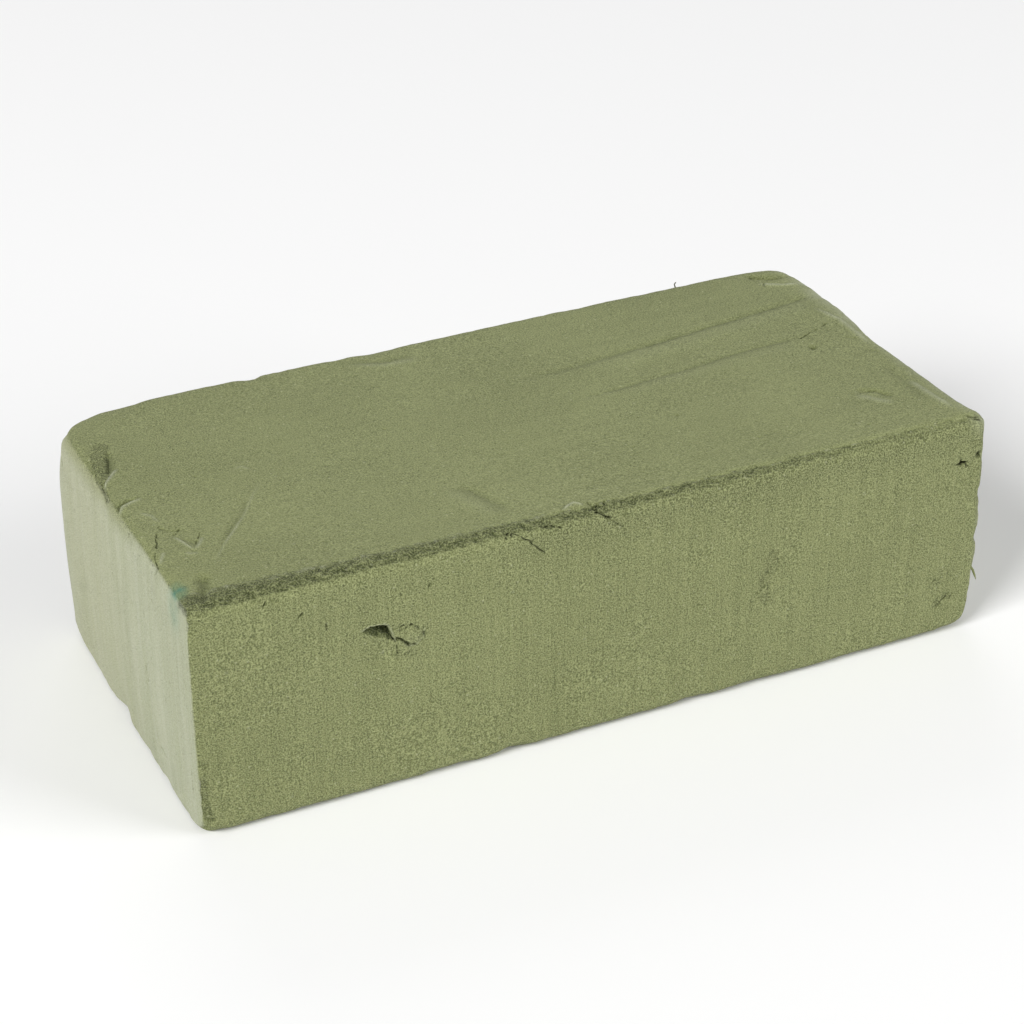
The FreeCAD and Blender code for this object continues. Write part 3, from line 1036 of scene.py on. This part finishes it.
def foam_material():
    """Dry phenolic foam: open grain whose low specks and pits are painted darker as shade; pale where dusty
    and where painted highlight is laid; darker where crushed, and with painted shade where torn, cracked,
    creased or hollowed.
    """
    graph = Graph("dry_floral_foam")
    where = graph.node("TexCoord").outputs["Object"]
    coarse, strokes = graph.wear_and_painted_light("grain"), graph.wear_and_painted_light("strokes")

    mottle = graph.noise(where, 26, detail=4)
    clumps = graph.noise(where, 330)
    specks = graph.noise(where, 2400, detail=1, roughness=0.4)
    fine = graph.noise(where, 3600, detail=1)
    pits = graph.dots(where, 1050, share=0.4, size=0.34)
    glints = graph.dots(where, 620, share=0.1, size=0.24)
    saw_lines = graph.stretched(where, (1500, 1500, 26))
    streaks = graph.stretched(where, (300, 300, 16))
    lengthwise = graph.stretched(where, (16, 420, 420))

    smooth_part = graph.math("SUBTRACT", 1.0, strokes)
    # The tone follows the same specks and pits as the bump, so low specks and pits are painted darker as
    # shade in the grain.
    tone = graph.add(0.5, specks, graph.times(coarse, 3.7))
    tone = graph.add(tone, fine, graph.times(coarse, 1.7))
    tone = graph.add(tone, mottle, graph.math("MULTIPLY_ADD", smooth_part, 0.2, 0.1))
    tone = graph.add(tone, saw_lines, graph.times(strokes, 0.95))
    tone = graph.add(tone, streaks, graph.times(strokes, 0.28))
    tone = graph.add(tone, lengthwise, graph.times(smooth_part, 0.14))
    tone = graph.math("MULTIPLY_ADD", graph.times(pits, coarse), -0.5, tone)
    foam = graph.mix(tone, FOAM_DARK, FOAM_LIGHT)
    foam = graph.mix(graph.times(glints, 0.5), foam, GLINT)
    # Pale parts: dust on the ends and the right bevel, and painted highlight on ridges, bulges, rims and
    # the bevel's sheen.
    pale_streaks = graph.add(0.72, streaks, graph.times(strokes, 0.42))
    pale_streaks = graph.add(pale_streaks, specks, 0.5)
    foam = graph.mix(graph.times(graph.wear_and_painted_light("pale"), pale_streaks), foam, DUST_AND_HIGHLIGHT)
    foam = graph.mix(graph.times(graph.wear_and_painted_light("yellow"), 0.14), foam, YELLOWED)
    foam = graph.mix(graph.times(graph.wear_and_painted_light("teal"), 0.85), foam, TEAL)
    # Dark parts: crushed foam in the front edge band, and painted shade in cracks, creases, hollows, scars,
    # the tear and the poke, broken up by the specks.
    broken = graph.mix_numbers(coarse, 0.85, graph.remap(specks, 0.36, 0.64, 1.3, 0.6))
    foam = graph.mix(graph.times(graph.wear_and_painted_light("shade"), broken), foam, CRUSH_AND_PAINTED_SHADE)

    height = graph.math("MULTIPLY_ADD", fine, 0.4, specks)
    height = graph.math("MULTIPLY_ADD", clumps, 0.1, height)
    height = graph.math("MULTIPLY_ADD", pits, -0.35, height)
    height = graph.math("MULTIPLY_ADD", glints, 0.3, height)
    height = graph.times(height, coarse)
    height = graph.math("MULTIPLY_ADD", graph.times(saw_lines, strokes), 0.25, height)
    bump = graph.node("Bump", {"Height": height, "Distance": MM, "Strength": 1.0})
    return graph.shade({
        "Base Color": foam,
        "Roughness": graph.remap(specks, 0.3, 0.7, 1.0, 0.86),
        "Specular IOR Level": 0.2,
        "Sheen Weight": 0.06,
        "Sheen Roughness": 0.6,
        "Normal": bump.outputs[0],
    })


def fibre_material():
    """A dark, slightly shiny fibre, paler in places."""
    graph = Graph("dark_fibre")
    where = graph.node("TexCoord").outputs["Object"]
    along = graph.noise(where, 900, detail=1)
    return graph.shade({"Base Color": graph.mix(along, FIBRE, FOAM_DARK), "Roughness": 0.55})


def floor_material():
    """A matt white studio floor."""
    white = colour(0.93, 0.93, 0.93)
    floor = Graph("studio_floor")
    return floor.shade({"Base Color": white, "Roughness": 0.9, "Specular IOR Level": 0.1})


# ---- studio

CAMERA_AIM = Vector((-2.53, -0.14, 37.90)) * MM
CAMERA_DISTANCE = 707.7 * MM
CAMERA_AZIMUTH = math.radians(-25.22)
CAMERA_ELEVATION = math.radians(29.86)
CAMERA_ROLL = math.radians(-0.39)
CAMERA_LENS = 90.08

# Lights: name, where it stands from the brick in metres, side of its square panel, watts.
LIGHTS = [
    ("key_left", (-3.45, -1.5, 2.85), 2.1, 204.0),
    ("right_fill", (3.0, -2.7, 1.65), 2.4, 118.0),
    ("back_fill", (0.9, 3.6, 2.4), 2.4, 29.0),
]
WORLD_LIGHT = 0.25


def add_camera():
    """A camera that looks down on the front and the left end."""
    azimuth, elevation = CAMERA_AZIMUTH, CAMERA_ELEVATION
    back = Vector((
        math.sin(azimuth) * math.cos(elevation),
        -math.cos(azimuth) * math.cos(elevation),
        math.sin(elevation),
    ))
    level = Vector((math.cos(azimuth), math.sin(azimuth), 0))
    turned = Matrix((level, back.cross(level), back)).transposed().to_4x4()
    data = bpy.data.cameras.new("camera")
    data.lens = CAMERA_LENS
    camera = add_object("camera", data)
    place = Matrix.Translation(CAMERA_AIM + back * CAMERA_DISTANCE)
    camera.matrix_world = place @ turned @ Matrix.Rotation(CAMERA_ROLL, 4, "Z")
    bpy.context.scene.camera = camera


def add_lights():
    """Soft panels round the brick, all aimed at its middle."""
    target = Vector(CENTRE) * MM
    for name, place, size, watts in LIGHTS:
        data = bpy.data.lights.new(name, "AREA")
        data.size = size
        data.energy = watts
        light = add_object(name, data)
        light.location = place
        light.rotation_euler = (target - Vector(place)).to_track_quat("-Z", "Y").to_euler()


def add_world():
    """Even white light from all round."""
    world = bpy.data.worlds.new("studio")
    bpy.context.scene.world = world
    world.use_nodes = True
    background = world.node_tree.nodes["Background"]
    background.inputs["Color"].default_value = colour(1, 1, 1)
    background.inputs["Strength"].default_value = WORLD_LIGHT


def add_floor():
    """A floor just under the brick, wide enough to fill every view."""
    half_side, drop = 15.0, 0.0002
    height = LOW[2] * MM - drop
    ends = (-half_side, half_side)
    corners = [(x, y, height) for y in ends for x in ends]
    mesh = bpy.data.meshes.new("floor")
    mesh.from_pydata(corners, [], [(0, 1, 3, 2)])
    mesh.materials.append(floor_material())
    floor = add_object("floor", mesh)


bpy.context.scene.view_settings.view_transform = "Standard"
add_camera()
add_lights()
add_world()
add_floor()
foam = foam_material()
brick_piece = make_brick(foam)
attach(brick_piece, "root")
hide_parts("foam_brick")
for trim in (make_splinter(foam), make_fibre(fibre_material())):
    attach(trim, "root")
